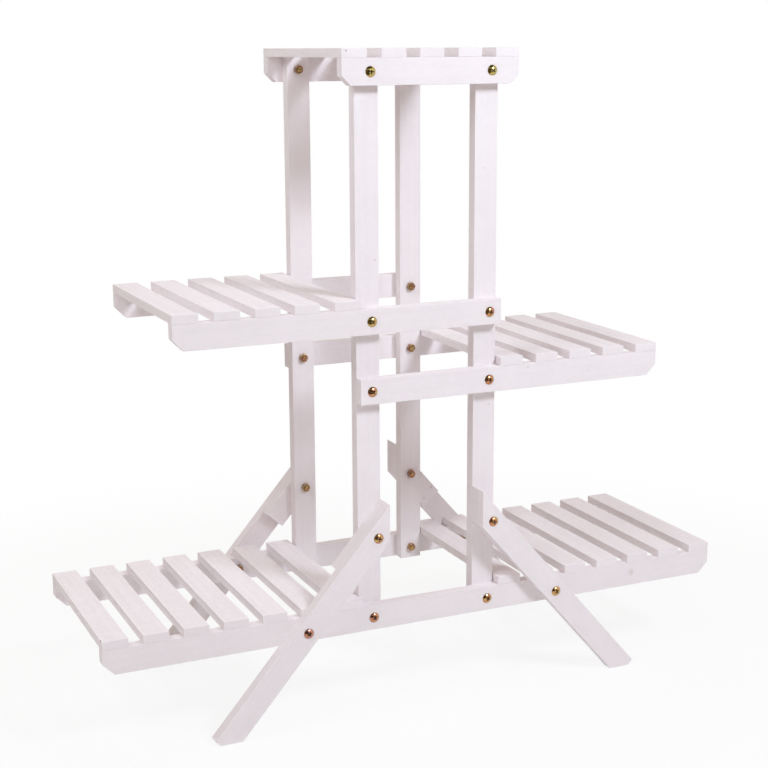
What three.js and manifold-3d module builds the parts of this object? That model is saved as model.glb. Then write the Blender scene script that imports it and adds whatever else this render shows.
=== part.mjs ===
// Slatted wooden plant stand: four posts carry a top shelf, a left shelf, a lower right shelf
// and one long base shelf, and four splayed legs hold the base rails off the floor.
// Millimetres, +Z up, front toward -Y. Origin: centre of the footprint, at floor level.

import * as THREE from 'three';
import { mergeVertices } from 'three/addons/utils/BufferGeometryUtils.js';
import Module from 'manifold-3d';

// Overall sizes
const HEIGHT = 800; // floor to the top face of the top slats
const DEPTH = 254; // front face of the front rails to back face of the back rails
const BASE_LEVEL = 136.5; // floor to the top edge of the base rails
const RIGHT_SHELF_LEVEL = 419; // floor to the top edge of the right shelf's rails
const LEFT_SHELF_STEP = 84; // the left shelf's rails sit this much above the right ones
const TOP_OVERHANG = 20.5; // top rails beyond the outer side of the posts
const MIDDLE_REACH = 227; // left and right shelf beyond the outer side of the posts
const BASE_REACH = 322; // base shelf beyond the outer side of the posts

// Boards
const POST_SPACING = 156; // centre to centre
const POST_WIDTH = 30;
const POST_THICKNESS = 15;
const RAIL_HEIGHT = 31;
const RAIL_THICKNESS = 14;
const SLAT_WIDTH = 31;
const SLAT_THICKNESS = 10.5;
const SLAT_TO_POST = 1; // clearance between a shelf's inner slat and the posts
const TOP_SLATS = 5;
const MIDDLE_SLATS = 5;
const BASE_SLATS = 7; // on each side of the posts
const TOP_END_CUT = 11; // sawn-off lower corners of the rails, at 45 degrees
const MIDDLE_END_CUT = 13;
const BASE_END_CUT = 14;
const ARRIS = 0.8; // eased edges round both broad faces of every board

// Legs, each with a packing block between it and its post
const LEG_WIDTH = 30;
const LEG_THICKNESS = 15;
const LEG_ANGLE = THREE.MathUtils.degToRad(49); // slope above the floor
const LEG_BOLT_HEIGHT = 226.5; // floor to the bolt through leg, block and post
const BLOCK_LENGTH = 100; // along the leg's upper edge
const TOE_WIDTH = 9.5; // part of the leg's square end that the level cut leaves as a blunt toe

// Bolts with domed heads outside and hex nuts inside
const BOLT_DIAMETER = 6;
const HEAD_DIAMETER = 12.5;
const HEAD_RIM = 1; // straight side of the head
const HEAD_DOME = 2.2; // rise of the dome above the rim
const HEAD_SINK = 0.4; // a rail bolt's head is drawn this deep into the wood
const NUT_WIDTH = 10; // across the flats
const NUT_HEIGHT = 5;
const NUT_SIDES = 6;
const BOLT_TAIL = 2; // thread that shows past the nut
const TAIL_BEVEL = 0.8;
const HOLE_CLEARANCE = 0.3; // all round a bolt in its hole
const ROUND_SIDES = 12;
const DOME_STEPS = 3;

// Worked out from the sizes above
const POST_X = POST_SPACING / 2;
const POST_OUTER_X = POST_X + POST_WIDTH / 2;
const LEFT_SHELF_LEVEL = RIGHT_SHELF_LEVEL + LEFT_SHELF_STEP;
const TOP_LEVEL = HEIGHT - SLAT_THICKNESS;
const POST_BOTTOM = BASE_LEVEL - RAIL_HEIGHT;
const POST_LENGTH = TOP_LEVEL - POST_BOTTOM;
const TOP_END_X = POST_OUTER_X + TOP_OVERHANG;
const MIDDLE_END_X = POST_OUTER_X + MIDDLE_REACH;
const BASE_END_X = POST_OUTER_X + BASE_REACH;
const INNER_SLAT_X = POST_OUTER_X + SLAT_TO_POST;
const RAIL_LEVELS = [BASE_LEVEL, RIGHT_SHELF_LEVEL, LEFT_SHELF_LEVEL, TOP_LEVEL];
const LEG_FOOT_BOLT_DROP = LEG_BOLT_HEIGHT - (BASE_LEVEL - RAIL_HEIGHT / 2);
const LEG_FOOT_BOLT_REACH = LEG_FOOT_BOLT_DROP / Math.tan(LEG_ANGLE);
const HOLE_RADIUS = BOLT_DIAMETER / 2 + HOLE_CLEARANCE;
const DRILL_LENGTH = 2 * Math.max(POST_THICKNESS, RAIL_THICKNESS, LEG_THICKNESS);

const FACES = { front: -1, back: 1 };
const SIDES = { left: -1, right: 1 };

const paintedWood = { color: 0xece6ea, roughness: 0.62, metalness: 0 };
const platedSteel = { color: 0xc8a45c, roughness: 0.34, metalness: 0.9 };

const wasm = await Module();
wasm.setup();

const stand = new THREE.Group();

function place(name, geometry, finish, x, y, z) {
  const mesh = new THREE.Mesh(geometry, new THREE.MeshStandardMaterial(finish));
  mesh.name = name;
  mesh.position.set(x, y, z);
  stand.add(mesh);
}

// A closed three.js geometry as a solid for joining and cutting
function toSolid(geometry) {
  const bare = geometry.clone();
  bare.deleteAttribute('normal');
  bare.deleteAttribute('uv');
  const merged = mergeVertices(bare);
  const corners = merged.index.array;
  const triVerts = [];
  for (let i = 0; i < corners.length; i += 3) {
    const triangle = corners.slice(i, i + 3);
    if (new Set(triangle).size === 3) {
      triVerts.push(...triangle);
    }
  }
  return new wasm.Manifold(new wasm.Mesh({
    numProp: 3,
    vertProperties: merged.attributes.position.array,
    triVerts: new Uint32Array(triVerts),
  }));
}

function toGeometry(solid) {
  const { vertProperties, triVerts } = solid.getMesh();
  const geometry = new THREE.BufferGeometry();
  geometry.setAttribute('position', new THREE.BufferAttribute(vertProperties, 3));
  geometry.setIndex(new THREE.BufferAttribute(triVerts, 1));
  return geometry;
}

// A board from its flat outline, centred in its thickness along Z, with eased edges
function flatBoard(corners, thickness) {
  const outline = new THREE.Shape(corners.map(([x, y]) => new THREE.Vector2(x, y)));
  const board = new THREE.ExtrudeGeometry(outline, {
    depth: thickness - 2 * ARRIS,
    bevelThickness: ARRIS,
    bevelSize: ARRIS,
    bevelOffset: -ARRIS,
    bevelSegments: 1,
  });
  board.translate(0, 0, ARRIS - thickness / 2);
  return board;
}

// The same board stood up: outline in X and Z, thickness along Y
function uprightBoard(corners, thickness) {
  return flatBoard(corners, thickness).rotateX(Math.PI / 2);
}

// Bolt holes along Y through an upright board, at [x, z] from its own origin
function drill(board, holes) {
  return holes.reduce((solid, [x, z]) => {
    const bit = new THREE.CylinderGeometry(HOLE_RADIUS, HOLE_RADIUS, DRILL_LENGTH, ROUND_SIDES);
    return solid.subtract(toSolid(bit.translate(x, 0, z)));
  }, toSolid(board));
}

// Y of the middle of a layer that starts this far inside the rails' outer face
function layerY(face, inset, thickness) {
  return face * (DEPTH / 2 - inset - thickness / 2);
}

// Bolt and nut along +Y: the head's underside lies at headFace, the nut's near side at nutFace
function boltSolid(headFace, nutFace) {
  const headRadius = HEAD_DIAMETER / 2;
  const shankRadius = BOLT_DIAMETER / 2;
  const rim = headFace - HEAD_RIM;
  const end = nutFace + NUT_HEIGHT + BOLT_TAIL;
  const profile = [];
  for (let i = 0; i <= DOME_STEPS; i += 1) {
    const turn = (i / DOME_STEPS) * (Math.PI / 2);
    profile.push(new THREE.Vector2(headRadius * Math.sin(turn), rim - HEAD_DOME * Math.cos(turn)));
  }
  profile.push(
    new THREE.Vector2(headRadius, headFace),
    new THREE.Vector2(shankRadius, headFace),
    new THREE.Vector2(shankRadius, end - TAIL_BEVEL),
    new THREE.Vector2(shankRadius - TAIL_BEVEL, end),
    new THREE.Vector2(0, end),
  );
  const nutRadius = NUT_WIDTH / 2 / Math.cos(Math.PI / NUT_SIDES);
  const nut = new THREE.CylinderGeometry(nutRadius, nutRadius, NUT_HEIGHT, NUT_SIDES);
  nut.translate(0, nutFace + NUT_HEIGHT / 2, 0);
  return toSolid(new THREE.LatheGeometry(profile, ROUND_SIDES)).add(toSolid(nut));
}

// The bolt with its head toward the front or the back of the stand
function boltGeometry(face, headFace, nutFace) {
  const bolt = toGeometry(boltSolid(headFace, nutFace));
  return face === FACES.back ? bolt.rotateZ(Math.PI) : bolt;
}

// Four posts, inside the rails, bored for a bolt at each rail and one at the leg
function addPosts() {
  const corners = [
    [-POST_WIDTH / 2, 0],
    [POST_WIDTH / 2, 0],
    [POST_WIDTH / 2, POST_LENGTH],
    [-POST_WIDTH / 2, POST_LENGTH],
  ];
  const boltLevels = RAIL_LEVELS.map((level) => level - RAIL_HEIGHT / 2);
  boltLevels.push(LEG_BOLT_HEIGHT);
  const holes = boltLevels.map((level) => [0, level - POST_BOTTOM]);
  for (const [faceName, face] of Object.entries(FACES)) {
    for (const [sideName, side] of Object.entries(SIDES)) {
      const post = drill(uprightBoard(corners, POST_THICKNESS), holes);
      const x = side * POST_X;
      const y = layerY(face, RAIL_THICKNESS, POST_THICKNESS);
      place(`${faceName}_${sideName}_post`, toGeometry(post), paintedWood, x, y, POST_BOTTOM);
    }
  }
}

// Outline of a rail round its middle height, with its lower corners sawn off where a cut is given
function railCorners(leftX, rightX, leftCut, rightCut) {
  const half = RAIL_HEIGHT / 2;
  const left = leftCut ? [[leftX, leftCut - half], [leftX + leftCut, -half]] : [[leftX, -half]];
  const right = rightCut ? [[rightX - rightCut, -half], [rightX, rightCut - half]] : [[rightX, -half]];
  return [[leftX, half], ...left, ...right, [rightX, half]];
}

// Front and back rail of one shelf. The two bolts that hold a rail to its posts are one solid with it.
function addRails(shelf, level, corners, extraHoles = []) {
  const halfThickness = RAIL_THICKNESS / 2;
  for (const [faceName, face] of Object.entries(FACES)) {
    let rail = drill(uprightBoard(corners, RAIL_THICKNESS), extraHoles);
    for (const side of Object.values(SIDES)) {
      const bolt = boltGeometry(face, HEAD_SINK, RAIL_THICKNESS + POST_THICKNESS);
      rail = rail.add(toSolid(bolt.translate(side * POST_X, face * halfThickness, 0)));
    }
    const y = layerY(face, 0, RAIL_THICKNESS);
    place(`${shelf}_${faceName}_rail`, toGeometry(rail), paintedWood, 0, y, level - RAIL_HEIGHT / 2);
  }
}

// Slats across both rails, evenly spaced from leftX to rightX
function addSlats(shelf, count, leftX, rightX, level) {
  const halfWidth = SLAT_WIDTH / 2;
  const halfLength = DEPTH / 2;
  const corners = [
    [-halfWidth, -halfLength],
    [halfWidth, -halfLength],
    [halfWidth, halfLength],
    [-halfWidth, halfLength],
  ];
  const pitch = (rightX - leftX - SLAT_WIDTH) / (count - 1);
  for (let i = 0; i < count; i += 1) {
    const x = leftX + halfWidth + i * pitch;
    const slat = flatBoard(corners, SLAT_THICKNESS);
    place(`${shelf}_slat_${i + 1}`, slat, paintedWood, x, 0, level + SLAT_THICKNESS / 2);
  }
}

// Height of the leg's upper or lower edge at x, both measured from the leg's post bolt
function legEdge(edge, x) {
  return (edge * LEG_WIDTH) / 2 / Math.cos(LEG_ANGLE) - x * Math.tan(LEG_ANGLE);
}

// Where a line along the leg meets the floor, from how far it lies above the leg's centre line
function legFloorX(offset) {
  return LEG_BOLT_HEIGHT / Math.tan(LEG_ANGLE) + offset / Math.sin(LEG_ANGLE);
}

// Cut upright at the post's inner side and level at the floor, up to the blunt toe
function legCorners(side) {
  const cutX = -POST_WIDTH / 2;
  const toeX = legFloorX(LEG_WIDTH / 2 - TOE_WIDTH);
  const tipX = toeX + TOE_WIDTH * Math.sin(LEG_ANGLE);
  const tipZ = TOE_WIDTH * Math.cos(LEG_ANGLE) - LEG_BOLT_HEIGHT;
  return [
    [side * cutX, legEdge(1, cutX)],
    [side * cutX, legEdge(-1, cutX)],
    [side * legFloorX(-LEG_WIDTH / 2), -LEG_BOLT_HEIGHT],
    [side * toeX, -LEG_BOLT_HEIGHT],
    [side * tipX, tipZ],
  ];
}

// The packing block follows the leg's edges from its top end and ends square across it
function blockCorners(side) {
  const cutX = -POST_WIDTH / 2;
  const along = [Math.cos(LEG_ANGLE) * BLOCK_LENGTH, -Math.sin(LEG_ANGLE) * BLOCK_LENGTH];
  const across = [-Math.sin(LEG_ANGLE) * LEG_WIDTH, -Math.cos(LEG_ANGLE) * LEG_WIDTH];
  const tipZ = legEdge(1, cutX);
  return [
    [side * cutX, tipZ],
    [side * cutX, legEdge(-1, cutX)],
    [side * (cutX + along[0] + across[0]), tipZ + along[1] + across[1]],
    [side * (cutX + along[0]), tipZ + along[1]],
  ];
}

// Splayed legs on the rails' outer faces, each with its block and its two bolts
function addLegs() {
  for (const [faceName, face] of Object.entries(FACES)) {
    const legY = layerY(face, -LEG_THICKNESS, LEG_THICKNESS);
    const blockY = layerY(face, 0, RAIL_THICKNESS);
    const headY = face * (DEPTH / 2 + LEG_THICKNESS);
    for (const [sideName, side] of Object.entries(SIDES)) {
      const name = `${faceName}_${sideName}_leg`;
      const x = side * POST_X;
      const lowerX = side * (POST_X + LEG_FOOT_BOLT_REACH);
      const lowerZ = LEG_BOLT_HEIGHT - LEG_FOOT_BOLT_DROP;
      const holes = [[0, 0], [lowerX - x, lowerZ - LEG_BOLT_HEIGHT]];
      const leg = drill(uprightBoard(legCorners(side), LEG_THICKNESS), holes);
      const block = drill(uprightBoard(blockCorners(side), RAIL_THICKNESS), [[0, 0]]);
      const upperBolt = boltGeometry(face, 0, LEG_THICKNESS + RAIL_THICKNESS + POST_THICKNESS);
      const lowerBolt = boltGeometry(face, 0, LEG_THICKNESS + RAIL_THICKNESS);
      place(name, toGeometry(leg), paintedWood, x, legY, LEG_BOLT_HEIGHT);
      place(`${name}_block`, toGeometry(block), paintedWood, x, blockY, LEG_BOLT_HEIGHT);
      place(`${name}_post_bolt`, upperBolt, platedSteel, x, headY, LEG_BOLT_HEIGHT);
      place(`${name}_rail_bolt`, lowerBolt, platedSteel, lowerX, headY, lowerZ);
    }
  }
}

const legRailHoles = Object.values(SIDES).map((side) => [side * (POST_X + LEG_FOOT_BOLT_REACH), 0]);
const baseRailCorners = railCorners(-BASE_END_X, BASE_END_X, BASE_END_CUT, BASE_END_CUT);

addPosts();
addRails('top', TOP_LEVEL, railCorners(-TOP_END_X, TOP_END_X, TOP_END_CUT, TOP_END_CUT));
addRails('left_shelf', LEFT_SHELF_LEVEL, railCorners(-MIDDLE_END_X, POST_OUTER_X, MIDDLE_END_CUT, 0));
addRails('right_shelf', RIGHT_SHELF_LEVEL, railCorners(-POST_OUTER_X, MIDDLE_END_X, 0, MIDDLE_END_CUT));
addRails('base', BASE_LEVEL, baseRailCorners, legRailHoles);
addSlats('top', TOP_SLATS, -TOP_END_X, TOP_END_X, TOP_LEVEL);
addSlats('left_shelf', MIDDLE_SLATS, -MIDDLE_END_X, -INNER_SLAT_X, LEFT_SHELF_LEVEL);
addSlats('right_shelf', MIDDLE_SLATS, INNER_SLAT_X, MIDDLE_END_X, RIGHT_SHELF_LEVEL);
addSlats('base_left', BASE_SLATS, -BASE_END_X, -INNER_SLAT_X, BASE_LEVEL);
addSlats('base_right', BASE_SLATS, INNER_SLAT_X, BASE_END_X, BASE_LEVEL);
addLegs();

export default stand;
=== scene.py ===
"""Whitewashed plant stand of bolted boards: posts, slatted shelves and splayed legs.

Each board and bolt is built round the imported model, in metres: +Z up, front toward -Y.
"""

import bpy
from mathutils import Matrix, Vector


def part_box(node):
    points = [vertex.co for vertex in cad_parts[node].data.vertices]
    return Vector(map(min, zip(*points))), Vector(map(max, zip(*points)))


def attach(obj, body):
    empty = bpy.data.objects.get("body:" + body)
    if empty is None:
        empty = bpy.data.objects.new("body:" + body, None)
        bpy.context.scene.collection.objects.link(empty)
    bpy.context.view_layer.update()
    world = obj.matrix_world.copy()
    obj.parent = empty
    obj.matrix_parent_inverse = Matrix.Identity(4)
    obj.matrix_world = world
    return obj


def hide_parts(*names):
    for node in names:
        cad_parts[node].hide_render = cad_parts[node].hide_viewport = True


bl_info = {
    "name": "Slatted Plant Stand",
    "version": (1, 0, 0),
    "blender": (4, 5, 0),
    "location": "View3D > Sidebar > Plant Stand",
    "description": "Builds a whitewashed plant stand of bolted boards, and the studio it stands in",
    "category": "Add Mesh",
}

import math
import random

import bmesh
import bpy
from bpy.props import FloatProperty, FloatVectorProperty, IntProperty, PointerProperty
from bpy.types import Operator, Panel, PropertyGroup
from mathutils import Matrix, Vector, noise
from mathutils.geometry import convex_hull_2d

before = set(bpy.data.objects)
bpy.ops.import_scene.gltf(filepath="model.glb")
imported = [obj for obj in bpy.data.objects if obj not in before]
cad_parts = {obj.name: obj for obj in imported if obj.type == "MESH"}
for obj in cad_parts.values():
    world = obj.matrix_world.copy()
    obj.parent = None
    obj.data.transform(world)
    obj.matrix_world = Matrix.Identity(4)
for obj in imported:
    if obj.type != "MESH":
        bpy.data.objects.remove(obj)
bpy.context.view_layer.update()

BODY = "root"
FACES = {"front": -1, "back": 1}
SIDES = ("left", "right")
SHELVES = ("top", "left_shelf", "right_shelf", "base")
SLAT_GROUPS = ("top", "left_shelf", "right_shelf", "base_left", "base_right")
UP, OUT = 2, 1  # axes of a slat's and of an upright board's thickness
NUT_SEAT = 0.00015  # a nut presses this deep into the wood
SAWN_FACE = 1.0  # how rough the paint lies on a slat
PLANED_FACE = 0.4  # and on every other board
FILLED_END = 0.2  # share of that roughness left on a board's ends
SAME_PLACE = 1e-4  # faces nearer than this lie on each other
THREAD_DEPTH = 0.00052


def nodes_named(*endings):
    """CAD nodes whose names end in one of these, in name order."""
    return sorted(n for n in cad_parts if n.endswith(endings))


def span(node, axis):
    """Lowest and highest place of a CAD node along an axis."""
    low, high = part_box(node)
    return low[axis], high[axis]


def middle(node, axis):
    return sum(span(node, axis)) / 2


LEG_BOLT = "front_left_leg_post_bolt"
HEAD_WIDTH = span(LEG_BOLT, 0)[1] - span(LEG_BOLT, 0)[0]


def length(label, about, value, **limits):
    """A size in metres."""
    return FloatProperty(
        name=label, description=about, default=value, precision=5, subtype="DISTANCE", unit="LENGTH", **limits
    )


def share(label, about, value):
    """A strength from 0 to 1."""
    return FloatProperty(name=label, description=about, default=value, min=0, max=1, subtype="FACTOR")


def tint(label, about, value):
    return FloatVectorProperty(name=label, description=about, default=value, size=3, min=0, max=1, subtype="COLOR")


class BoardSettings(PropertyGroup):
    """How the boards were sawn and sanded"""

    arris: length("Arris", "Radius that sanding leaves on every edge", 0.00045, min=0.0003, max=0.003)
    wander: length("Wander", "How much further the sanding goes in places", 0.00025, min=0, max=0.001)
    station: length("Station spacing", "Distance between the cross sections of a board", 0.011, min=0.004)
    slack: length("Slat slack", "How far a slat may sit from its marked place", 0.0004, min=0, max=0.001)
    skew: FloatProperty(
        name="Slat skew", description="How far a slat may turn on its rails",
        default=math.radians(0.1), subtype="ANGLE", unit="ROTATION",
    )
    nicks: IntProperty(name="Nicks", description="Most knocks on one board's edges", default=2, min=0, max=6)
    nick_depth: length("Nick depth", "Depth of the deepest knock", 0.0009, min=0, max=0.002)


class BoltSettings(PropertyGroup):
    """Bolts, nuts and the holes they sit in"""

    head_width: length("Head width", "Across the domed head", HEAD_WIDTH)
    head_rim: length("Head rim", "Straight side of the head", 0.00035)
    head_dome: length("Head dome", "Rise of the dome above the rim", 0.00285)
    head_seat: length("Head seat", "How deep a head is drawn into the wood", 0.0004)
    cross_reach: length("Cross reach", "Centre of the head to the end of an arm of its cross", 0.0031)
    cross_width: length("Cross width", "Across one arm of the cross", 0.0015)
    shank_width: length("Shank width", "Across the bolt's shank", 0.006)
    thread_pitch: length("Thread pitch", "From one thread to the next", 0.001)
    thread_length: length("Threaded length", "Thread at the bolt's end", 0.011)
    nut_width: length("Nut width", "Across the flats", 0.01)
    nut_height: length("Nut height", "Thickness of the nut", 0.005)
    tail: length("Tail", "Bolt that shows past the nut", 0.002)
    hole_clearance: length("Hole clearance", "Round a bolt in its hole", 0.0003)


class FinishSettings(PropertyGroup):
    """Colours of the whitewashed wood and the plated steel"""

    paint: tint("Paint", "The whitewash where it lies thick", (0.89, 0.833, 0.85))
    thin_paint: tint("Thin paint", "The whitewash where the late wood shows through", (0.77, 0.69, 0.67))
    bare_wood: tint("Bare wood", "The softwood under the paint", (0.40, 0.28, 0.18))
    grain: share("Grain", "How much the grain shows through the paint", 0.32)
    gold: tint("Gold plating", "Yellow plating where it lies even", (0.58, 0.375, 0.1))
    copper: tint("Copper tint", "Plating where it turns to copper", (0.54, 0.195, 0.08))
    pink: tint("Pink tint", "Plating where copper turns to pink", (0.48, 0.22, 0.19))
    olive: tint("Olive tint", "Plating where it turns to green", (0.5, 0.42, 0.1))
    dull: tint("Dull tint", "Grey-brown that dulls the nuts", (0.29, 0.195, 0.14))
    # Dark tint for dirt in the hollows of bolts and nuts. It also paints the shade in the cross recess and round the
    # bolt in the nut.
    grime: tint("Grime_and_shade", "Dirt in the hollows of bolts and nuts", (0.05, 0.035, 0.025))


class StudioSettings(PropertyGroup):
    """Camera, lamps and floor"""

    lens: FloatProperty(name="Lens", description="Focal length", default=70.849, subtype="DISTANCE_CAMERA")
    eye: FloatVectorProperty(
        name="Camera place", description="Where the camera stands", default=(-0.78405, -1.71698, 0.8005),
        size=3, subtype="XYZ", unit="LENGTH",
    )
    aim: FloatVectorProperty(
        name="Camera turn", description="Pitch below the horizon, roll, and turn to the right of +Y",
        default=(math.radians(12.553), math.radians(-0.301), math.radians(24.381)),
        size=3, subtype="EULER", unit="ROTATION",
    )
    key: FloatProperty(name="Key lamp", description="Power of the softbox on the front right", default=21.8, min=0)
    side: FloatProperty(name="Side lamp", description="Power of the softbox on the left", default=13.5, min=0)
    back: FloatProperty(name="Back lamp", description="Power of the softbox behind", default=7, min=0)
    room: FloatProperty(name="Room light", description="Light that comes from all round", default=0.36, min=0)
    floor: tint("Floor", "Colour of the floor", (0.9, 0.9, 0.9))


# ---------------------------------------------------------------- meshes


def new_piece(name, mesh, place, material):
    """Links a finished piece, riding on the stand."""
    piece = bpy.data.objects.new(name, mesh)
    bpy.context.scene.collection.objects.link(piece)
    piece.matrix_world = place
    mesh.materials.append(material)
    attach(piece, BODY)
    return piece


def finished_mesh(shape, name):
    """The bmesh as a mesh with its faces turned outward, and the bmesh freed."""
    bmesh.ops.recalc_face_normals(shape, faces=shape.faces[:])
    mesh = bpy.data.meshes.new(name)
    shape.to_mesh(mesh)
    shape.free()
    mesh.shade_smooth()
    return mesh


def give(mesh, name, kind, values):
    """Stores one value or vector for each point of a mesh."""
    layer = mesh.attributes.new(name, kind, "POINT")
    layer.data.foreach_set("vector" if kind == "FLOAT_VECTOR" else "value", values)


def skin(rings):
    """A closed surface through rings of points, where a ring of one point is a pole."""
    shape = bmesh.new()
    loops = [[shape.verts.new(point) for point in ring] for ring in rings]
    for low, high in zip(loops, loops[1:]):
        for i in range(max(len(low), len(high))):
            corners = (low[i % len(low)], low[(i + 1) % len(low)], high[(i + 1) % len(high)], high[i % len(high)])
            shape.faces.new(list(dict.fromkeys(corners)))
    return shape


def polar(radius, turn, height):
    return Vector((radius * math.cos(turn), radius * math.sin(turn), height))


def circle(radius, height, turns):
    if radius == 0:
        return [Vector((0, 0, height))]
    return [polar(radius, turn, height) for turn in turns]


def even_turns(count):
    return [2 * math.pi * i / count for i in range(count)]


# ---------------------------------------------------------------- boards


def outline_of(node, first, second):
    """Corners of a CAD board's outline in order, seen along its thickness."""
    points = {(round(v.co[first], 5), round(v.co[second], 5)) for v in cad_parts[node].data.vertices}
    points = [Vector(p) for p in sorted(points)]
    ring = [points[i] for i in convex_hull_2d(points)]
    corners = []
    for before, here, after in zip(ring[-1:] + ring[:-1], ring, ring[1:] + ring[:1]):
        if (here - before).angle(after - here) > math.radians(3):
            corners.append(here)
    return corners


def board_place(corners, low, high, through):
    """A board's middle, its turn (X along the grain, Z through its thickness) and its outline there."""
    lift = Vector((0, 0, (low + high) / 2)) if through == UP else Vector((0, (low + high) / 2, 0))
    solid = [Vector((x, y, 0) if through == UP else (x, 0, y)) + lift for x, y in corners]
    edges = [b - a for a, b in zip(solid, solid[1:] + solid[:1])]
    along = max(edges, key=lambda e: e.length).normalized()
    depth = Vector((0, 0, 1)) if through == UP else Vector((0, 1, 0))
    across = depth.cross(along)
    centre = sum(solid, Vector()) / len(solid)
    turn = Matrix((along, across, depth)).transposed()
    outline = [((p - centre).dot(along), (p - centre).dot(across)) for p in solid]
    return centre, turn, outline


def flat_directions(outline):
    """Outward directions of a board's flat faces, in its own frame."""
    flats = [Vector((0, 0, 1)), Vector((0, 0, -1))]
    for (ax, ay), (bx, by) in zip(outline, outline[1:] + outline[:1]):
        side = Vector((by - ay, ax - bx, 0)).normalized()
        flats += [side, -side]
    return flats


def board_shape(outline, thickness, settings, nicks, draw):
    """A sawn and sanded board with its worn edges, and how worn each point is."""
    shape = bmesh.new()
    sheets = [[shape.verts.new((x, y, z)) for x, y in outline] for z in (-thickness / 2, thickness / 2)]
    for sheet in sheets:
        shape.faces.new(sheet)
    for i in range(len(outline)):
        j = (i + 1) % len(outline)
        shape.faces.new((sheets[0][i], sheets[0][j], sheets[1][j], sheets[1][i]))
    bmesh.ops.recalc_face_normals(shape, faces=shape.faces[:])
    bmesh.ops.bevel(
        shape, geom=shape.edges[:], offset=settings.arris, offset_type="OFFSET", segments=3, profile=0.5,
        affect="EDGES",
    )
    reach = max(x for x, _ in outline) - settings.arris * 2
    count = max(2, round(2 * reach / settings.station))
    stations = [reach * (2 * i / count - 1) for i in range(1, count)]
    for nick, _, _ in nicks:
        stations += [nick[0] + step for step in (-0.0024, -0.0012, 0, 0.0012, 0.0024)]
    for x in sorted(stations):
        bmesh.ops.bisect_plane(
            shape, geom=shape.verts[:] + shape.edges[:] + shape.faces[:], dist=1e-5,
            plane_co=(x, 0, 0), plane_no=(1, 0, 0),
        )
    shape.normal_update()
    flats = flat_directions(outline)
    worn = shape.verts.layers.float.new("wear")
    phase = draw.uniform(0, 50)
    for vert in shape.verts:
        lean = 1 - max(vert.normal.dot(flat) for flat in flats)
        edge = min(1, lean / (1 - math.sqrt(0.5)))
        wave = noise.noise(Vector((vert.co.x * 28 + phase, vert.co.y * 70, vert.co.z * 70)))
        dent = 0
        for centre, radius, depth in nicks:
            dent = max(dent, depth * math.exp(-((vert.co - Vector(centre)).length / radius) ** 2))
        vert.co -= vert.normal * (edge * settings.wander * (0.5 + wave) + dent * min(1, edge * 2))
        vert[worn] = min(1, 0.55 * edge * (0.8 + wave) + dent / 0.0007)
    return shape


def drawn_nicks(outline, thickness, settings, draw):
    """Knocks at random places along a board's long edges: centre, radius and depth."""
    reach = max(x for x, _ in outline) * 0.85
    half = max(y for _, y in outline)
    found = []
    for _ in range(draw.randint(0, settings.nicks)):
        place = (draw.uniform(-reach, reach), draw.choice((-half, half)), draw.choice((-1, 1)) * thickness / 2)
        found.append((place, draw.uniform(0.0012, 0.0026), settings.nick_depth * draw.uniform(0.3, 0.8)))
    return found


def mark_timber(mesh, centre, turn, sawn, draw):
    """Gives a board its place in the log, its shade among the others, and how rough its faces are."""
    angle, pith = draw.uniform(0, 2 * math.pi), draw.uniform(0.028, 0.075)
    log = Vector((draw.uniform(0, 30), pith * math.cos(angle), pith * math.sin(angle)))
    along = [v.co @ turn for v in mesh.vertices]
    end = max(abs(point.x) for point in along) - 0.0015
    give(mesh, "timber", "FLOAT_VECTOR", [c for point in along for c in point + log])
    give(mesh, "place", "FLOAT_VECTOR", [c for v in mesh.vertices for c in v.co + centre])
    give(mesh, "shade", "FLOAT", [draw.random()] * len(along))
    give(mesh, "sawn", "FLOAT", [sawn * (FILLED_END if abs(point.x) > end else 1) for point in along])


def carve(piece, cutters):
    """Cuts the bolt holes and the seats of heads and nuts."""
    joined = bmesh.new()
    for mesh in cutters:
        joined.from_mesh(mesh)
        bpy.data.meshes.remove(mesh)
    bits = bpy.data.objects.new("bits", finished_mesh(joined, "bits"))
    bpy.context.scene.collection.objects.link(bits)
    cut = piece.modifiers.new("bolt_holes", "BOOLEAN")
    cut.operation = "DIFFERENCE"
    cut.solver = "EXACT"
    cut.object = bits
    bpy.context.view_layer.update()
    seen = piece.evaluated_get(bpy.context.evaluated_depsgraph_get())
    carved = bpy.data.meshes.new_from_object(seen)
    piece.modifiers.clear()
    blank, piece.data = piece.data, carved
    bpy.data.meshes.remove(blank)
    carved.name = piece.name
    bpy.data.meshes.remove(bits.data)


def make_board(node, low, high, through, loose=None):
    """Builds the board that stands for a CAD node, with its holes, edges and grain."""
    stand = bpy.context.scene.plant_stand
    draw = random.Random(node)
    corners = outline_of(node, 0, 1 if through == UP else 2)
    centre, turn, outline = board_place(corners, low, high, through)
    thickness = high - low
    nicks = drawn_nicks(outline, thickness, stand.boards, draw)
    shape = board_shape(outline, thickness, stand.boards, nicks, draw)
    shape.transform(turn.to_4x4() @ loose(draw) if loose else turn.to_4x4())
    mesh = finished_mesh(shape, node + "_wood")
    piece = new_piece(node + "_wood", mesh, Matrix.Translation(centre), material_named("whitewashed_wood"))
    cutters = [bit for bolt in bolts() if (bit := hole_bit(bolt, corners, low, high, through, stand.bolts))]
    if cutters:
        carve(piece, cutters)
    mark_timber(piece.data, centre, turn, SAWN_FACE if through == UP else PLANED_FACE, draw)
    even = piece.modifiers.new("flat_faces", "WEIGHTED_NORMAL")
    even.keep_sharp = True
    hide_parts(node)
    return piece


# ---------------------------------------------------------------- bolts


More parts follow.
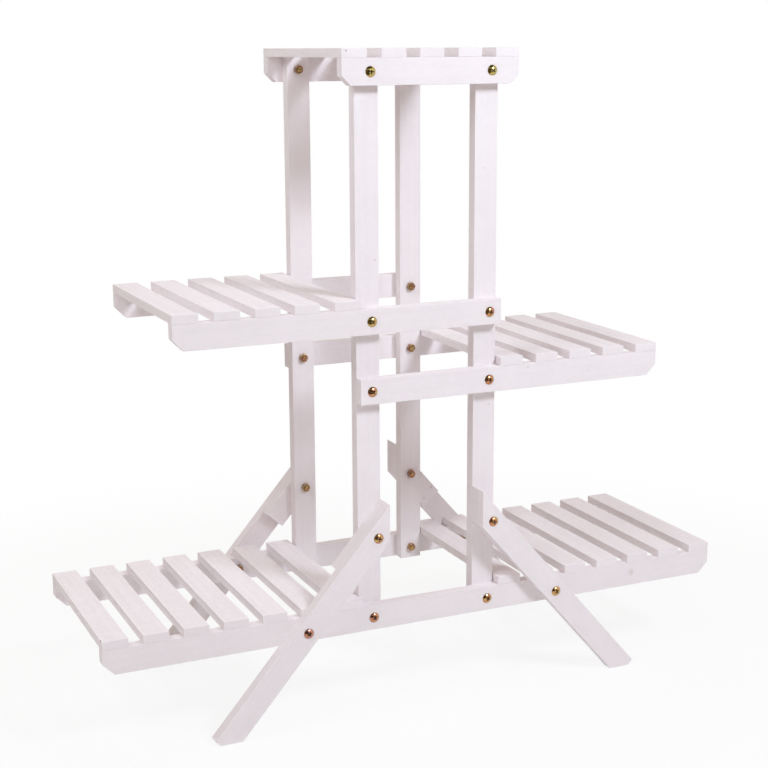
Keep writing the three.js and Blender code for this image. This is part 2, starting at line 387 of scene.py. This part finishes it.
def bolts():
    """Every bolt: name, CAD node, face, x, z, outer face of the head's seat and inner face of the nut's."""
    settings = bpy.context.scene.plant_stand.bolts
    head = settings.head_rim + settings.head_dome
    found = []

    def add(name, node, face, x, z):
        low, high = span(node, OUT)
        tip, tail = (low, high) if face < 0 else (high, low)
        found.append((name, node, face, x, z, tip - face * head, tail + face * (settings.tail + settings.nut_height)))

    for face_name, face in FACES.items():
        for shelf in SHELVES:
            rail = f"{shelf}_{face_name}_rail"
            for side in SIDES:
                x = middle(f"{face_name}_{side}_post", 0)
                add(f"{shelf}_{face_name}_{side}", rail, face, x, middle(rail, UP))
        for side in SIDES:
            for use in ("post", "rail"):
                node = f"{face_name}_{side}_leg_{use}_bolt"
                add(f"{face_name}_{side}_leg_{use}", node, face, middle(node, 0), middle(node, UP))
    return found


def head_face(bolt):
    """Y of the wood under a bolt's head, which is the face of the rail or the leg."""
    node, face = bolt[1], bolt[2]
    outer = "base_left_slat_1" if node.endswith("rail") else f"{'front' if face < 0 else 'back'}_left_leg"
    return span(outer, OUT)[0 if face < 0 else 1]


def bolt_place(bolt, y, spin=0):
    """Frame of a head or nut: +Z away from the stand's middle."""
    _, _, face, x, z, _, _ = bolt
    turn = Matrix.Rotation(-face * math.pi / 2, 4, "X") @ Matrix.Rotation(spin, 4, "Z")
    return Matrix.Translation((x, y, z)) @ turn


def hole_bit(bolt, corners, low, high, through, settings):
    """The cutter for one bolt in one board, or None where the bolt misses it."""
    _, _, face, x, z, _, nut_face = bolt
    if through == UP or (low + high) * face < 0:
        return None
    reach = [min(c[i] for c in corners) for i in (0, 1)] + [max(c[i] for c in corners) for i in (0, 1)]
    if not (reach[0] < x < reach[2] and reach[1] < z < reach[3]):
        return None
    outer, inner = (low, high) if face < 0 else (high, low)
    seat = head_face(bolt)
    if (outer - seat) * face > SAME_PLACE or (inner - nut_face) * face < -SAME_PLACE:
        return None
    hole = settings.shank_width / 2 + settings.hole_clearance
    thick, past = high - low, 0.002  # the cutter runs past both faces
    profile = [(0, -thick - past), (hole, -thick - past)]
    if abs(inner - nut_face) < SAME_PLACE:
        wide = settings.nut_width / 2 / math.cos(math.pi / 6) + 0.0003
        profile = [(0, -thick - past), (wide + 0.002, -thick - past), (wide + 0.0008, -thick)]
        profile += [(wide, -thick + NUT_SEAT), (hole, -thick + NUT_SEAT)]
    if abs(outer - seat) < SAME_PLACE:
        wide = settings.head_width / 2 + 0.0002
        profile += [(hole, -settings.head_seat), (wide, -settings.head_seat), (wide + 0.0009, 0)]
        profile += [(wide + 0.0025, past), (0, past)]
    else:
        profile += [(hole, past), (0, past)]
    bit = skin([circle(radius, height, even_turns(40)) for radius, height in profile])
    bit.transform(bolt_place(bolt, outer))
    return finished_mesh(bit, "bit")


def cross_reach(turn, width, reach):
    """Distance from the centre to the edge of a cross recess in this direction."""
    lean = abs((turn + math.pi / 4) % (math.pi / 2) - math.pi / 4)
    return min(reach, width / 2 / max(math.sin(lean), 1e-6))


def cross_turns(width, reach):
    """Directions round the head that catch the corners of the cross."""
    tip = math.atan2(width / 2, reach)
    quarter = [-45, -38, -31, -24, -math.degrees(tip) - 3, -math.degrees(tip), -math.degrees(tip) / 2]
    quarter += [0] + [-a for a in quarter[:0:-1]]
    return [math.radians(90 * k + a) for k in range(4) for a in quarter]


def head_rings(settings, turns):
    """Rings of a domed head from the bottom of its cross recess to its flat underside at Z 0."""
    radius, rim, dome = settings.head_width / 2, settings.head_rim, settings.head_dome
    reach, width = settings.cross_reach, settings.cross_width
    ball = (radius**2 + dome**2) / (2 * dome)

    def skirt(r):
        return rim + dome - ball + math.sqrt(ball**2 - r**2)

    def cross(scale, slim, drop):
        points = []
        for turn in turns:
            r = cross_reach(turn, width * slim, reach * scale)
            points.append(polar(r, turn, skirt(r if drop == 0 else reach) - drop))
        return points

    rings = [[Vector((0, 0, skirt(reach) - 0.0021))], cross(0.36, 0.75, 0.0019), cross(0.68, 0.88, 0.001)]
    rings += [cross(0.95, 0.98, 0.0002), cross(1, 1.08, 0)]
    shoulder = [(reach + 0.0003) / radius, 0.66, 0.76, 0.85, 0.92, 0.965, 0.99]
    rings.append([p.lerp(q, 0.5) for p, q in zip(rings[-1], circle(shoulder[0] * radius, 0, turns))])
    for point in rings[-1]:
        point.z = skirt(math.hypot(point.x, point.y))
    rings += [circle(s * radius, skirt(s * radius), turns) for s in shoulder]
    rings += [circle(radius, rim * s, turns) for s in (0.95, 0.3)]
    rings.append(circle(radius - 0.0003, 0, turns))
    return rings


def thread_rings(settings, grip, turns):
    """Rings of a shank from under its head to the blunt end of its thread."""
    shank, pitch = settings.shank_width / 2, settings.thread_pitch
    end = -(grip + settings.nut_height + settings.tail)
    start = end + settings.thread_length
    rings = [circle(shank, 0, turns), circle(shank, start + 0.0006, turns)]
    steps = 6  # rings for each turn of the thread
    count = round((settings.thread_length - 0.0008) / pitch * steps)
    for i in range(count + 1):
        z = start - i * pitch / steps
        fade = min(1, i / steps, (count - i) / steps + 0.35)
        ring = []
        for turn in turns:
            tooth = abs(((z / pitch + turn / (2 * math.pi)) % 1) * 2 - 1)
            ring.append(polar(shank - THREAD_DEPTH * fade * min(1, max(0, tooth * 1.3 - 0.12)), turn, z))
        rings.append(ring)
    rings += [circle(shank - 0.0008, end, turns), circle(0, end, turns)]
    return rings


def screw_shape(settings, grip):
    """Domed cross-head bolt: its head above Z 0, and its thread up to the tail below."""
    turns = cross_turns(settings.cross_width, settings.cross_reach)
    rings = head_rings(settings, turns) + thread_rings(settings, grip, turns)
    # Darkens the bottom of the cross recess and the tip of the tail: dirt and painted shade.
    return mark_grime_and_shade(skin(rings), 1 + 3 * len(turns), 1)


def nut_shape(settings):
    """Hexagon nut standing on Z 0, with the corners of both ends turned off."""
    turns = even_turns(60)
    flat, height = settings.nut_width / 2, settings.nut_height
    bore = settings.shank_width / 2 - 0.00025

    def hexagon(z):
        chamfer = flat * 0.96 + min(z, height - z) / math.tan(math.radians(27))
        points = []
        for turn in turns:
            lean = (turn + math.pi / 6) % (math.pi / 3) - math.pi / 6
            points.append(polar(min(flat / math.cos(lean), chamfer), turn, z))
        return points

    levels = [0, 0.05, 0.1, 0.16, 0.24, 0.4, 0.6, 0.76, 0.84, 0.9, 0.95, 1]
    rings = [circle(bore, height / 2, turns), circle(bore, 0.0006, turns), circle(bore + 0.0006, 0, turns)]
    rings += [hexagon(height * level) for level in levels]
    rings += [circle(flat * 0.86, height, turns), circle(bore + 0.0009, height, turns)]
    rings += [circle(bore + 0.0006, height - 0.0001, turns), circle(bore, height - 0.0007, turns)]
    rings.append(circle(bore, height / 2, turns))
    # Darkens the bore at both faces, round the bolt: dirt and painted shade.
    return mark_grime_and_shade(skin(rings), 3 * len(turns), 4 * len(turns))


# How far each front bolt's plating has turned: olive 0, gold 0.35, copper 0.7, pink 1
BOLT_HUES = {
    "top_front_left": 0.08,
    "top_front_right": 0.04,
    "left_shelf_front_left": 0.26,
    "left_shelf_front_right": 0.62,
    "right_shelf_front_left": 0.62,
    "right_shelf_front_right": 0.7,
    "front_left_leg_post": 0.5,
    "front_right_leg_post": 0.55,
    "front_left_leg_rail": 0.95,
    "front_right_leg_rail": 0.4,
    "base_front_left": 0.78,
    "base_front_right": 0.5,
}


def mark_grime_and_shade(shape, first, last):
    """Marks the first and the last points of a bolt or nut, in its hollows, to be darkened: partly dirt, partly
    painted shade.
    """
    grime = shape.verts.layers.float.new("grime")
    verts = list(shape.verts)
    for vert in verts[:first] + verts[-last:]:
        vert[grime] = 1
    return shape


def mark_plating(mesh, draw, hue):
    """Gives a bolt or nut its own patch of plating, and its hue from gold to copper."""
    patch = Vector([draw.uniform(0, 1) for _ in range(3)])
    give(mesh, "plating", "FLOAT_VECTOR", [c for v in mesh.vertices for c in v.co + patch])
    give(mesh, "hue", "FLOAT", [hue] * len(mesh.vertices))


def steel_piece(name, shape, place, node, draw, hue, material):
    """Places a bolt or nut that stands, with others, for its CAD node."""
    mesh = finished_mesh(shape, name)
    mesh.set_sharp_from_angle(angle=math.radians(38))
    mark_plating(mesh, draw, hue)
    piece = new_piece(name, mesh, place, material)
    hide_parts(node)


# ---------------------------------------------------------------- materials


def add_node(tree, kind, inputs=(), **settings):
    """A shader node with its settings, and its inputs linked or set."""
    node = tree.nodes.new(kind)
    for key, value in settings.items():
        setattr(node, key, value)
    for key, value in dict(inputs).items():
        socket = node.inputs[key]
        if isinstance(value, bpy.types.NodeSocket):
            tree.links.new(value, socket)
        else:
            socket.default_value = value
    return node


def math_node(tree, operation, *values):
    return add_node(tree, "ShaderNodeMath", enumerate(values), operation=operation).outputs[0]


def blend(tree, factor, first, second, mode="MIX"):
    """Colour first with colour second over it."""
    mixed = add_node(tree, "ShaderNodeMix", {0: factor, 6: first, 7: second}, data_type="RGBA", blend_type=mode)
    return mixed.outputs[2]


def ramp(tree, value, low, high, to_low=0.0, to_high=1.0):
    """Value from low..high to to_low..to_high, with soft ends."""
    sockets = {"Value": value, "From Min": low, "From Max": high, "To Min": to_low, "To Max": to_high}
    return add_node(tree, "ShaderNodeMapRange", sockets, interpolation_type="SMOOTHSTEP").outputs[0]


def stretched(tree, vector, scale):
    return add_node(tree, "ShaderNodeVectorMath", {0: vector, 1: scale}, operation="MULTIPLY").outputs[0]


def cloud(tree, vector, scale, detail=2.0, roughness=0.5):
    sockets = {"Vector": vector, "Scale": scale, "Detail": detail, "Roughness": roughness}
    return add_node(tree, "ShaderNodeTexNoise", sockets).outputs["Fac"]


def attribute(tree, name, output):
    return add_node(tree, "ShaderNodeAttribute", attribute_name=name).outputs[output]


def opaque(colour):
    return (*colour, 1.0)


def start_material(name):
    material = bpy.data.materials.new(name)
    material.use_nodes = True
    tree = material.node_tree
    return material, tree, tree.nodes["Principled BSDF"]


# Marks seen on the boards: place, radius and how far they bare the wood
MARKS = (
    ((-0.1078, -0.127, 0.7973), 0.0014, 0.9),  # top slat's end
    ((-0.415, -0.1215, 0.1465), 0.0022, 0.9),  # corner of the lowest slat
    ((0.293, -0.127, 0.1231), 0.0055, 0.22),  # base rail
    ((0.0855, -0.127, 0.4261), 0.0026, 0.22),  # right shelf's rail
    ((0.1319, -0.127, 0.4144), 0.0022, 0.2),
    ((-0.0678, -0.113, 0.558), 0.0018, 0.3),  # front post
    ((0.1169, 0.113, 0.1981), 0.0022, 0.4),  # back packing block
    ((0.106, 0.113, 0.1835), 0.0022, 0.35),
)


def seen_marks(tree):
    """How far the marks bare the wood at each place."""
    place = attribute(tree, "place", "Vector")
    total = 0.0
    for centre, radius, strength in MARKS:
        away = add_node(tree, "ShaderNodeVectorMath", {0: place, 1: centre}, operation="DISTANCE").outputs["Value"]
        total = math_node(tree, "MAXIMUM", ramp(tree, away, radius, radius * 0.35, 0, strength), total)
    return total


def whitewashed_wood(finish):
    """Thin white paint over sawn softwood: growth rings, fibres, knots, specks and worn edges."""
    material, tree, surface = start_material("whitewashed_wood")
    timber = attribute(tree, "timber", "Vector")
    worn = attribute(tree, "wear", "Fac")
    shade = attribute(tree, "shade", "Fac")
    sawn = attribute(tree, "sawn", "Fac")

    log = stretched(tree, timber, (0.12, 1, 1))
    rings = add_node(
        tree, "ShaderNodeTexWave",
        {"Vector": log, "Scale": 118, "Distortion": 9, "Detail": 3, "Detail Scale": 14, "Detail Roughness": 0.45},
        wave_type="RINGS", rings_direction="X", wave_profile="SAW",
    ).outputs["Fac"]
    late_wood = math_node(tree, "POWER", rings, 3.2)
    fibre = cloud(tree, stretched(tree, timber, (28, 900, 900)), 1, 3, 0.62)
    streak = cloud(tree, stretched(tree, timber, (5, 190, 190)), 1, 2, 0.5)
    cover = cloud(tree, timber, 17, 3, 0.55)
    mottle = cloud(tree, stretched(tree, timber, (0.5, 1, 1)), 260, 2, 0.6)

    cell = add_node(
        tree, "ShaderNodeTexVoronoi", {"Vector": stretched(tree, timber, (0.55, 1, 1)), "Scale": 15}, feature="F1"
    )
    pick = add_node(tree, "ShaderNodeSeparateColor", {0: cell.outputs["Color"]}).outputs[0]
    knot = math_node(
        tree, "MULTIPLY", ramp(tree, cell.outputs["Distance"], 0.13, 0.03), ramp(tree, pick, 0.86, 0.9)
    )
    grit = add_node(tree, "ShaderNodeTexVoronoi", {"Vector": timber, "Scale": 105}, feature="F1")
    grain_pick = add_node(tree, "ShaderNodeSeparateColor", {0: grit.outputs["Color"]}).outputs[1]
    speck = math_node(
        tree, "MULTIPLY", ramp(tree, grit.outputs["Distance"], 0.085, 0.05), ramp(tree, grain_pick, 0.975, 0.98)
    )

    thin = ramp(tree, cover, 0.3, 0.72, 0.35, 1)
    shows = math_node(tree, "MULTIPLY", math_node(tree, "MULTIPLY", late_wood, thin), finish.grain)
    shows = math_node(tree, "ADD", shows, ramp(tree, fibre, 0.52, 0.78, 0, 0.16))
    shows = math_node(tree, "MULTIPLY", shows, ramp(tree, sawn, 0, 1, 0.3, 1))
    shows = math_node(tree, "ADD", shows, math_node(tree, "MULTIPLY", knot, 0.3))
    shows = math_node(tree, "ADD", shows, ramp(tree, shade, 0, 1, 0, 0.12))
    colour = blend(tree, shows, opaque(finish.paint), opaque(finish.thin_paint))
    streaks, blots = (ramp(tree, pattern, 0.2, 0.8, -0.03, 0.03) for pattern in (streak, mottle))
    uneven = math_node(tree, "ADD", streaks, blots)
    uneven = math_node(tree, "MULTIPLY", uneven, sawn)
    lightness = math_node(tree, "ADD", uneven, ramp(tree, cover, 0.2, 0.8, 0.975, 1.015))
    grey = add_node(tree, "ShaderNodeCombineColor", {0: lightness, 1: lightness, 2: lightness}).outputs[0]
    colour = blend(tree, 1.0, colour, grey, "MULTIPLY")

    chips = cloud(tree, stretched(tree, timber, (0.4, 1, 1)), 420, 3, 0.6)
    bare = math_node(tree, "MULTIPLY", worn, ramp(tree, chips, 0.44, 0.66, 0.16, 1))
    bare = ramp(tree, bare, 0.22, 1.0, 0, 0.72)
    bare = math_node(tree, "MAXIMUM", bare, math_node(tree, "MULTIPLY", speck, 0.75))
    bare = math_node(tree, "MAXIMUM", bare, seen_marks(tree))
    colour = blend(tree, bare, colour, opaque(finish.bare_wood))
    tree.links.new(colour, surface.inputs["Base Color"])

    rough = math_node(tree, "ADD", ramp(tree, cover, 0.25, 0.75, 0.58, 0.7), math_node(tree, "MULTIPLY", bare, 0.2))
    tree.links.new(rough, surface.inputs["Roughness"])
    surface.inputs["Specular IOR Level"].default_value = 0.22

    relief = math_node(tree, "MULTIPLY", late_wood, 0.35)
    relief = math_node(tree, "ADD", relief, math_node(tree, "MULTIPLY", fibre, 0.55))
    relief = math_node(tree, "ADD", relief, math_node(tree, "MULTIPLY", streak, 0.5))
    relief = math_node(tree, "SUBTRACT", relief, math_node(tree, "MULTIPLY", speck, 0.8))
    relief = math_node(tree, "SUBTRACT", relief, math_node(tree, "MULTIPLY", knot, 0.4))
    bump = add_node(tree, "ShaderNodeBump", {"Strength": 0.55, "Distance": 0.00022, "Height": relief})
    tree.links.new(bump.outputs[0], surface.inputs["Normal"])
    return material


def plated_steel(finish, name, dullness):
    """Plated steel: gold that turns olive, copper or pink in patches, with stains, scratches, and dirt with painted
    shade in the hollows.
    """
    material, tree, surface = start_material(name)
    plating = attribute(tree, "plating", "Vector")
    hue = attribute(tree, "hue", "Fac")
    grime = attribute(tree, "grime", "Fac")
    patch = cloud(tree, plating, 230, 2, 0.5)
    turned = math_node(tree, "ADD", hue, ramp(tree, patch, 0.25, 0.75, -0.34, 0.34))
    colour = blend(tree, ramp(tree, turned, 0.02, 0.32), opaque(finish.olive), opaque(finish.gold))
    colour = blend(tree, ramp(tree, turned, 0.4, 0.68), colour, opaque(finish.copper))
    colour = blend(tree, ramp(tree, turned, 0.8, 1.05), colour, opaque(finish.pink))
    stain = cloud(tree, plating, 620, 3, 0.6)
    dull = math_node(tree, "ADD", ramp(tree, stain, 0.35, 0.7, 0, 0.3), dullness)
    colour = blend(tree, dull, colour, opaque(finish.dull))
    # Darkens the marked hollows: dirt and painted shade in the cross recess and round the bolt in the nut.
    dirt_and_shade = math_node(tree, "MULTIPLY", grime, 0.8)
    colour = blend(tree, dirt_and_shade, colour, opaque(finish.grime))
    tree.links.new(colour, surface.inputs["Base Color"])
    surface.inputs["Metallic"].default_value = 1
    rough = math_node(tree, "ADD", ramp(tree, stain, 0.25, 0.8, 0.13, 0.3), dullness * 0.3)
    rough = math_node(tree, "ADD", rough, math_node(tree, "MULTIPLY", grime, 0.3))
    tree.links.new(rough, surface.inputs["Roughness"])
    surface.inputs["Coat Weight"].default_value = 0.8
    surface.inputs["Coat Roughness"].default_value = 0.1
    scratches = cloud(tree, stretched(tree, plating, (1, 1, 9)), 1500, 2, 0.5)
    bump = add_node(tree, "ShaderNodeBump", {"Strength": 0.3, "Distance": 0.00005, "Height": scratches})
    tree.links.new(bump.outputs[0], surface.inputs["Normal"])
    return material


def material_named(name):
    """The material, made when it is first asked for."""
    if name in bpy.data.materials:
        return bpy.data.materials[name]
    finish = bpy.context.scene.plant_stand.finish
    if name == "whitewashed_wood":
        return whitewashed_wood(finish)
    return plated_steel(finish, name, 0.3 if name == "plated_nut" else 0.0)


# ---------------------------------------------------------------- operators


class MakePosts(Operator):
    """Make the four posts that carry every shelf"""

    bl_idname = "plant_stand.make_posts"
    bl_label = "Posts"

    def execute(self, context):
        for node in nodes_named("_post"):
            make_board(node, *span(node, OUT), OUT)
        return {"FINISHED"}


class MakeRails(Operator):
    """Make the front and back rail of each shelf"""

    bl_idname = "plant_stand.make_rails"
    bl_label = "Rails"

    def execute(self, context):
        outer = span("base_left_slat_1", OUT)
        for face_name, face in FACES.items():
            inner = span(f"{face_name}_left_post", OUT)
            low, high = (outer[0], inner[0]) if face < 0 else (inner[1], outer[1])
            for node in nodes_named(f"_{face_name}_rail"):
                make_board(node, low, high, OUT)
        return {"FINISHED"}


class MakeSlats(Operator):
    """Make the slats of the top shelf, the two side shelves and the base"""

    bl_idname = "plant_stand.make_slats"
    bl_label = "Slats"

    def execute(self, context):
        boards = context.scene.plant_stand.boards

        def loose(draw):
            shift = Vector((0, draw.uniform(-1, 1) * boards.slack, 0))
            return Matrix.Translation(shift) @ Matrix.Rotation(draw.uniform(-1, 1) * boards.skew, 4, "Z")

        for group in SLAT_GROUPS:
            slats = [n for n in nodes_named("") if n.startswith(group + "_slat_")]
            for node in slats:
                make_board(node, *span(node, UP), UP, None if node in (slats[0], slats[-1]) else loose)
        return {"FINISHED"}


class MakeLegs(Operator):
    """Make the splayed legs and their packing blocks"""

    bl_idname = "plant_stand.make_legs"
    bl_label = "Legs and blocks"

    def execute(self, context):
        for node in nodes_named("_leg", "_leg_block"):
            make_board(node, *span(node, OUT), OUT)
        return {"FINISHED"}


class MakeScrews(Operator):
    """Make the domed bolts, each drawn into the wood"""

    bl_idname = "plant_stand.make_screws"
    bl_label = "Bolts"

    def execute(self, context):
        settings = context.scene.plant_stand.bolts
        for bolt in bolts():
            name, node, face = bolt[:3]
            draw = random.Random(name)
            seat = head_face(bolt) - face * settings.head_seat
            grip = abs(bolt[6] - seat) - NUT_SEAT
            place = bolt_place(bolt, seat, draw.uniform(0, math.pi / 2))
            hue = BOLT_HUES.get(name, draw.uniform(0.3, 0.95))
            shape = screw_shape(settings, grip)
            steel_piece(name + "_screw", shape, place, node, draw, hue, material_named("plated_screw"))
        return {"FINISHED"}


class MakeNuts(Operator):
    """Make the hexagon nuts inside the posts and rails"""

    bl_idname = "plant_stand.make_nuts"
    bl_label = "Nuts"

    def execute(self, context):
        settings = context.scene.plant_stand.bolts
        for bolt in bolts():
            name, node, face = bolt[:3]
            draw = random.Random(name + "nut")
            place = bolt_place(bolt, bolt[6] + face * NUT_SEAT, draw.uniform(0, math.pi / 3))
            turned = place @ Matrix.Rotation(math.pi, 4, "X")
            steel_piece(
                name + "_nut", nut_shape(settings), turned, node, draw, draw.uniform(0.35, 0.85),
                material_named("plated_nut"),
            )
        return {"FINISHED"}



MIDDLE_OF_STAND = (0, 0, 0.4)
FLOOR_WIDTH = 18

# Softboxes that point at the middle of the stand: name, width, place, colour, and whether metal sees them
LAMPS = (
    ("key", 0.42, (0.58, -1.4, 1.58), (0.8, 0.885, 1.0), True),
    ("side", 0.9, (-1.34, -0.44, 1.67), (0.86, 0.92, 1.0), False),
    ("back", 1.2, (0.15, 1.4, 1.2), (1, 1, 1), False),
)

# Black cards: name, place, the point they face, width and height
CARDS = (
    ("left_card", (-2.9, -0.6, 1.25), (0, 0, 1.25), 2.6, 2.4),
    ("front_card", (-1.45, -2.7, 1.25), (0, 0, 1.25), 2.7, 2.4),
    ("right_card", (1.15, -2.5, 0.4), (0, 0, 0.4), 0.9, 1.1),
    ("low_card", (-1.35, -1.5, 0.012), (-1.35, -1.5, 1), 2.3, 2.0),
    ("high_card", (-0.2, -1.2, 3.2), (-0.2, -1.2, 0), 4.5, 3.6),
)


def facing(place, target):
    """Turn of a lamp or card at this place toward a point."""
    return (Vector(target) - Vector(place)).to_track_quat("-Z", "Y").to_euler()


def rectangle(width, height):
    """Points, edges and the one face of a flat rectangle."""
    x, y = width / 2, height / 2
    return [(-x, -y, 0), (x, -y, 0), (x, y, 0), (-x, y, 0)], [], [(0, 1, 2, 3)]


def soft_lamp(name, power, width, place, colour):
    data = bpy.data.lights.new(name, "AREA")
    data.shape = "SQUARE"
    data.size = width
    data.energy = power
    data.color = colour
    lamp = bpy.data.objects.new(name, data)
    bpy.context.scene.collection.objects.link(lamp)
    lamp.location = place
    lamp.rotation_euler = facing(place, MIDDLE_OF_STAND)
    lamp.visible_camera = False
    return lamp


def floor_material(colour):
    """Pale floor that the camera sees as the white of the backdrop, with its shadows kept."""
    material, tree, surface = start_material("pale_floor")
    place = add_node(tree, "ShaderNodeTexCoord").outputs["Object"]
    texture = cloud(tree, place, 3, 3, 0.5)
    grey = ramp(tree, texture, 0.2, 0.8, 0.985, 1)
    tone = add_node(tree, "ShaderNodeCombineColor", {0: grey, 1: grey, 2: grey}).outputs[0]
    tree.links.new(blend(tree, 1.0, opaque(colour), tone, "MULTIPLY"), surface.inputs["Base Color"])
    surface.inputs["Roughness"].default_value = 0.9
    surface.inputs["Specular IOR Level"].default_value = 0.1
    white = add_node(tree, "ShaderNodeEmission", {"Color": (1, 1, 1, 1), "Strength": 1.0})
    light = add_node(tree, "ShaderNodeLightPath")
    seen = math_node(tree, "MAXIMUM", light.outputs["Is Camera Ray"], light.outputs["Is Glossy Ray"])
    seen = math_node(tree, "MAXIMUM", seen, light.outputs["Is Transmission Ray"])
    away = add_node(tree, "ShaderNodeVectorMath", {0: place}, operation="LENGTH").outputs["Value"]
    cover = math_node(tree, "MULTIPLY", seen, ramp(tree, away, 0.4, 1.1, 0.86, 1))
    mixed = add_node(tree, "ShaderNodeMixShader", {0: cover, 1: surface.outputs[0], 2: white.outputs[0]})
    tree.links.new(mixed.outputs[0], tree.nodes["Material Output"].inputs["Surface"])
    return material


def make_world(room):
    """Even room light, behind which the camera and the bolts see a white backdrop."""
    world = bpy.data.worlds.new("studio")
    world.use_nodes = True
    tree = world.node_tree
    ambient = tree.nodes["Background"]
    ambient.inputs["Color"].default_value = (1.0, 0.83, 0.69, 1)
    ambient.inputs["Strength"].default_value = room
    backdrop = add_node(tree, "ShaderNodeBackground", {"Color": (1, 1, 1, 1), "Strength": 1.0})
    light = add_node(tree, "ShaderNodeLightPath")
    seen = math_node(tree, "MAXIMUM", light.outputs["Is Camera Ray"], light.outputs["Is Glossy Ray"])
    seen = math_node(tree, "MAXIMUM", seen, light.outputs["Is Transmission Ray"])
    mixed = add_node(tree, "ShaderNodeMixShader", {0: seen, 1: ambient.outputs[0], 2: backdrop.outputs[0]})
    tree.links.new(mixed.outputs[0], tree.nodes["World Output"].inputs["Surface"])
    bpy.context.scene.world = world


def dark_card(name, place, target, width, height):
    """A photographer's black card, which only polished metal sees."""
    mesh = bpy.data.meshes.new(name)
    mesh.from_pydata(*rectangle(width, height))
    material, tree, surface = start_material(name)
    tree.nodes.remove(surface)
    glow = add_node(tree, "ShaderNodeEmission", {"Color": (0.055, 0.045, 0.04, 1), "Strength": 1.0})
    tree.links.new(glow.outputs[0], tree.nodes["Material Output"].inputs["Surface"])
    mesh.materials.append(material)
    card = bpy.data.objects.new(name, mesh)
    bpy.context.scene.collection.objects.link(card)
    card.location = place
    card.rotation_euler = facing(place, target)
    card.visible_camera = card.visible_diffuse = card.visible_shadow = False
    card.visible_transmission = False


def make_camera(studio):
    data = bpy.data.cameras.new("camera")
    data.lens = studio.lens
    data.sensor_width = 36
    data.clip_end = 30
    camera = bpy.data.objects.new("camera", data)
    bpy.context.scene.collection.objects.link(camera)
    pitch, roll, yaw = studio.aim
    turn = Matrix.Rotation(math.pi / 2 - pitch, 4, "X") @ Matrix.Rotation(roll, 4, "Z")
    camera.matrix_world = Matrix.Translation(studio.eye) @ Matrix.Rotation(-yaw, 4, "Z") @ turn
    bpy.context.scene.camera = camera


class MakeStudio(Operator):
    """Make the floor, the lamps, the black cards, the backdrop and the camera"""

    bl_idname = "plant_stand.make_studio"
    bl_label = "Studio"

    def execute(self, context):
        studio = context.scene.plant_stand.studio
        mesh = bpy.data.meshes.new("floor")
        mesh.from_pydata(*rectangle(FLOOR_WIDTH, FLOOR_WIDTH))
        mesh.materials.append(floor_material(studio.floor))
        floor = bpy.data.objects.new("floor", mesh)
        context.scene.collection.objects.link(floor)
        for name, width, place, colour, glossy in LAMPS:
            soft_lamp(name, getattr(studio, name), width, place, colour).visible_glossy = glossy
        for card in CARDS:
            dark_card(*card)
        make_world(studio.room)
        make_camera(studio)
        context.scene.view_settings.view_transform = "Standard"
        return {"FINISHED"}


class PlantStandSettings(PropertyGroup):
    """All settings of the plant stand"""

    boards: PointerProperty(type=BoardSettings, name="Boards", description="How the boards were worked")
    bolts: PointerProperty(type=BoltSettings, name="Bolts", description="Bolts, nuts and holes")
    finish: PointerProperty(type=FinishSettings, name="Finish", description="Paint and plating")
    studio: PointerProperty(type=StudioSettings, name="Studio", description="Camera, lamps and floor")


OPERATORS = (MakePosts, MakeRails, MakeSlats, MakeLegs, MakeScrews, MakeNuts, MakeStudio)


class PlantStandPanel(Panel):
    """Buttons that build the stand, and its settings"""

    bl_idname = "VIEW3D_PT_plant_stand"
    bl_label = "Plant Stand"
    bl_space_type = "VIEW_3D"
    bl_region_type = "UI"
    bl_category = "Plant Stand"

    def draw(self, context):
        stand = context.scene.plant_stand
        for operator in OPERATORS:
            self.layout.operator(operator.bl_idname)
        for group in (stand.boards, stand.bolts, stand.finish, stand.studio):
            box = self.layout.box()
            for name in group.__annotations__:
                box.prop(group, name)


CLASSES = (
    BoardSettings, BoltSettings, FinishSettings, StudioSettings, PlantStandSettings, *OPERATORS, PlantStandPanel
)


def register():
    for each in CLASSES:
        bpy.utils.register_class(each)
    bpy.types.Scene.plant_stand = PointerProperty(
        type=PlantStandSettings, name="Plant stand", description="Settings of the plant stand"
    )


def unregister():
    del bpy.types.Scene.plant_stand
    for each in reversed(CLASSES):
        bpy.utils.unregister_class(each)


def main():
    register()
    bpy.ops.plant_stand.make_studio()
    bpy.ops.plant_stand.make_posts()
    bpy.ops.plant_stand.make_rails()
    bpy.ops.plant_stand.make_slats()
    bpy.ops.plant_stand.make_legs()
    bpy.ops.plant_stand.make_screws()
    bpy.ops.plant_stand.make_nuts()


if __name__ == "__main__":
    main()
